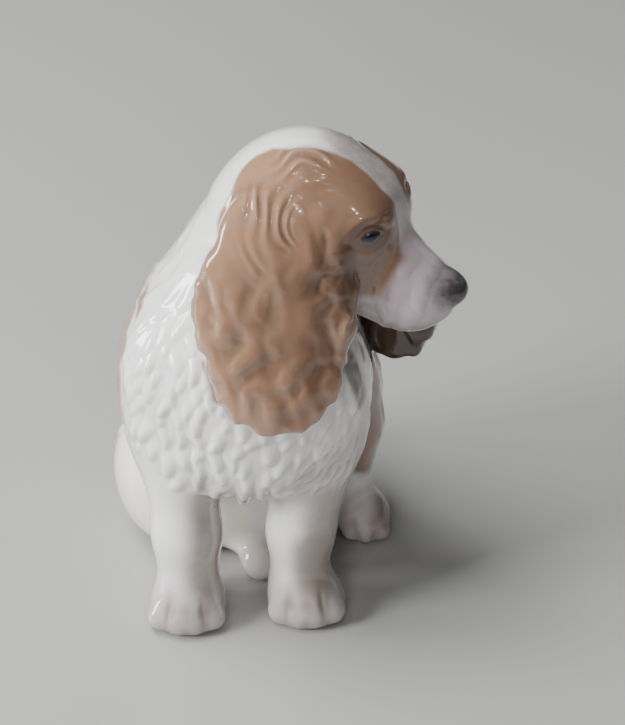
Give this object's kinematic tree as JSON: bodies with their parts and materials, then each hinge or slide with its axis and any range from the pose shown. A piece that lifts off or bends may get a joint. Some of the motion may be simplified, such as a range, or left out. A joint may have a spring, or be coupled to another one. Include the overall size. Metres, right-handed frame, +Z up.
{
  "type": "ceramic dog figurine",
  "caption": "Seated spaniel figurine in glazed porcelain, head turned to its left, with long hanging ears.",
  "frame": {"origin": "middle of the underside of the base plate, which is level with the soles of the feet", "axes": "+Z up; the dog's chest and front paws face -Y; +X is the dog's left, and the head turns towards +X"},
  "size_m": [0.1066, 0.1094, 0.1508],
  "materials": {
    "white_glaze": "clear gloss glaze over white porcelain, with airbrushed grey-brown shading in the hollows of the fur",
    "painted_head_glaze": "clear gloss glaze over tan and grey-brown underglaze, white blaze, mauve-white muzzle, dark blue eyes and black nose",
    "tan_glaze": "clear gloss glaze over sprayed tan-brown underglaze, lighter on the ridges",
    "dark_tan_glaze": "clear gloss glaze over dark reddish brown underglaze",
    "cream_glaze": "clear gloss glaze, slightly warm where it is thick",
    "biscuit": "unglazed, ground flat and matt"
  },
  "bodies": {
    "root": {"torso": "white_glaze", "head": "painted_head_glaze", "ear_right": "tan_glaze", "ear_left": "dark_tan_glaze", "foreleg_right": "white_glaze", "foreleg_left": "white_glaze", "haunch_right": "cream_glaze", "haunch_left": "tan_glaze", "hind_foot_right": "cream_glaze", "hind_foot_left": "white_glaze", "tail": "white_glaze", "base_plate": "biscuit"}
  },
  "joints": []
}
